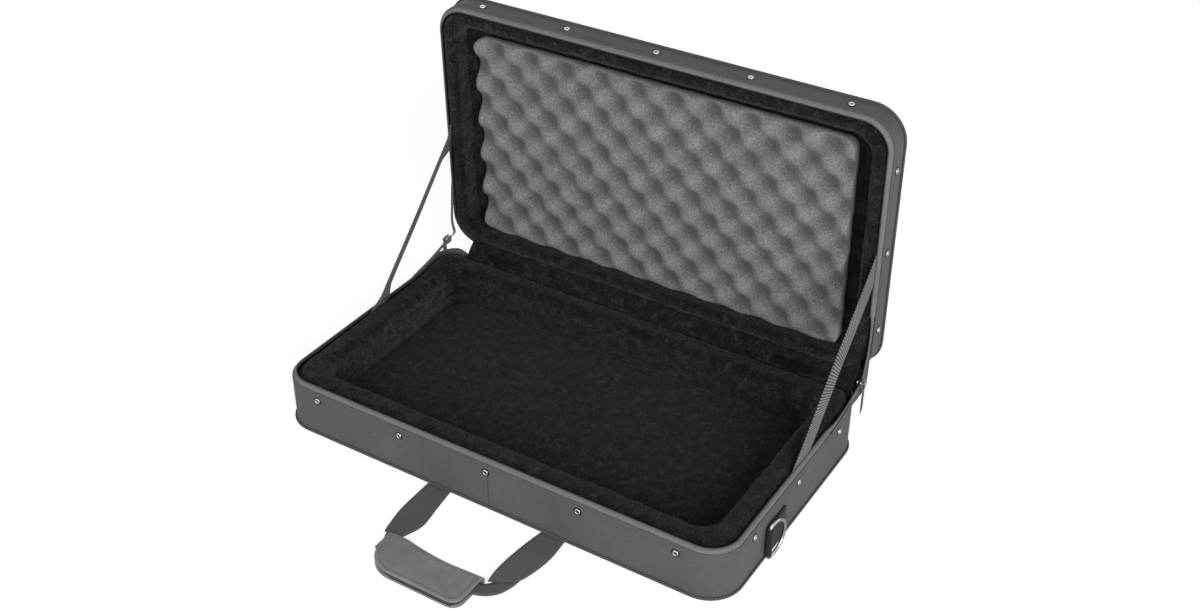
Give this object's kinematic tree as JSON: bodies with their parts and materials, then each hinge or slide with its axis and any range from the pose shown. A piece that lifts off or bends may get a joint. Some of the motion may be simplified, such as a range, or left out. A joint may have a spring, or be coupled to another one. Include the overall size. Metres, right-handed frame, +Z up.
{
  "type": "guitar pedal case",
  "caption": "Zip-closed padded soft case for a floor effects unit, with a hinged foam-lined lid on webbing stays, a wrap-round carrying grip and side rings for a shoulder strap.",
  "frame": {"origin": "middle of the base's bottom face, on the floor", "axes": "+X to the right along the case's width, -Y towards the front edge with the carrying loop, +Z up; the lid is hinged along the rear edge"},
  "size_m": [0.7628, 0.6585, 0.5204],
  "materials": {
    "cover_cloth": "smooth coated weave, slight sheen",
    "board": "matt",
    "frame_plastic": "matt",
    "rigid_foam": "matt",
    "plush": "short pile",
    "convoluted_foam": "open cell, matt",
    "piping": "diagonal weave",
    "zip_tape": "herringbone weave",
    "zip_coil": "satin",
    "chrome": "polished",
    "dark_washer": "satin",
    "stay_webbing": "ribbed weave",
    "webbing": "ribbed weave",
    "grip_cloth": "smooth coated weave",
    "hook_strip": "hooks",
    "loop_strip": "loops",
    "pull_cloth": "woven"
  },
  "bodies": {
    "base": {"base_cover": "cover_cloth", "base_board": "board", "base_rim_frame": "frame_plastic", "base_wall_foam": "rigid_foam", "base_floor_foam": "rigid_foam", "base_floor_lining": "plush", "base_wall_lining": "plush", "base_piping": "piping", "base_zip_tape": "zip_tape", "base_zip_coil": "zip_coil", "base_rivets": "chrome", "base_washers": "dark_washer", "base_handle_tabs": "webbing", "d_ring_tab_left": "webbing", "d_ring_tab_right": "webbing", "hinge_cloth": "cover_cloth", "hinge_lining": "plush", "stay_left": "stay_webbing", "stay_right": "stay_webbing", "zip_end_left": "zip_tape", "zip_end_right": "zip_tape"},
    "lid": {"lid_cover": "cover_cloth", "lid_board": "board", "lid_rim_frame": "frame_plastic", "lid_wall_foam": "rigid_foam", "lid_back_lining": "plush", "lid_egg_crate_foam": "convoluted_foam", "lid_wall_lining": "plush", "lid_piping": "piping", "lid_zip_tape": "zip_tape", "lid_zip_coil": "zip_coil", "lid_rivets": "chrome", "lid_washers": "dark_washer", "lid_handle_tabs": "webbing"},
    "slider_left": {"slider_left": "chrome"},
    "slider_right": {"slider_right": "chrome"},
    "pull_left": {"pull_link_left": "chrome", "pull_tab_left": "pull_cloth"},
    "pull_right": {"pull_link_right": "chrome", "pull_tab_right": "pull_cloth"},
    "d_ring_left": {"d_ring_left": "chrome"},
    "d_ring_right": {"d_ring_right": "chrome"},
    "handle": {"handle_webbing": "webbing", "wrap_lower": "grip_cloth", "wrap_hook_strip": "hook_strip", "wrap_fold": "grip_cloth"},
    "wrap_flap": {"wrap_flap": "grip_cloth", "wrap_loop_strip": "loop_strip"},
    "lid_handle": {"lid_handle_webbing": "webbing"}
  },
  "joints": [
    {"name": "lid_hinge", "type": "hinge", "parent": "base", "child": "lid", "pos_m": [0, 0.2175, 0.088], "axis": [1, 0, 0], "range_deg": [0, 88], "deforming": ["stay_left", "stay_right", "hinge_cloth", "hinge_lining", "zip_end_left", "zip_end_right"]},
    {"name": "slider_left_slide", "type": "slide", "parent": "base", "child": "slider_left", "axis": [0, -0.9975, -0.0713], "range_m": [0, 0.2338]},
    {"name": "pull_left_swing", "type": "hinge", "parent": "slider_left", "child": "pull_left", "pos_m": [-0.3717, 0.20024, 0.10467], "axis": [0, 1, 0], "range_deg": [0, 110]},
    {"name": "d_ring_left_swing", "type": "hinge", "parent": "base", "child": "d_ring_left", "pos_m": [-0.375, -0.097, 0.034], "axis": [0, 0, 1], "range_deg": [0, 165]},
    {"name": "slider_right_slide", "type": "slide", "parent": "base", "child": "slider_right", "axis": [0, -0.9975, -0.0713], "range_m": [0, 0.2338]},
    {"name": "pull_right_swing", "type": "hinge", "parent": "slider_right", "child": "pull_right", "pos_m": [0.3717, 0.20024, 0.10467], "axis": [0, -1, 0], "range_deg": [0, 110]},
    {"name": "d_ring_right_swing", "type": "hinge", "parent": "base", "child": "d_ring_right", "pos_m": [0.375, -0.097, 0.034], "axis": [0, 0, -1], "range_deg": [0, 165]},
    {"name": "handle_swing", "type": "hinge", "parent": "base", "child": "handle", "pos_m": [0.014, -0.2137, 0.0025], "axis": [-1, 0, 0], "range_deg": [0, 70]},
    {"name": "wrap_flap_swing", "type": "hinge", "parent": "handle", "child": "wrap_flap", "pos_m": [0.002, -0.3389, 0.0078], "axis": [-1, 0, 0], "range_deg": [0, 45], "deforming": ["wrap_fold"]},
    {"name": "lid_handle_swing", "type": "hinge", "parent": "lid", "child": "lid_handle", "pos_m": [0.014, 0.24885, 0.51976], "axis": [1, 0, 0], "range_deg": [0, 90]}
  ]
}
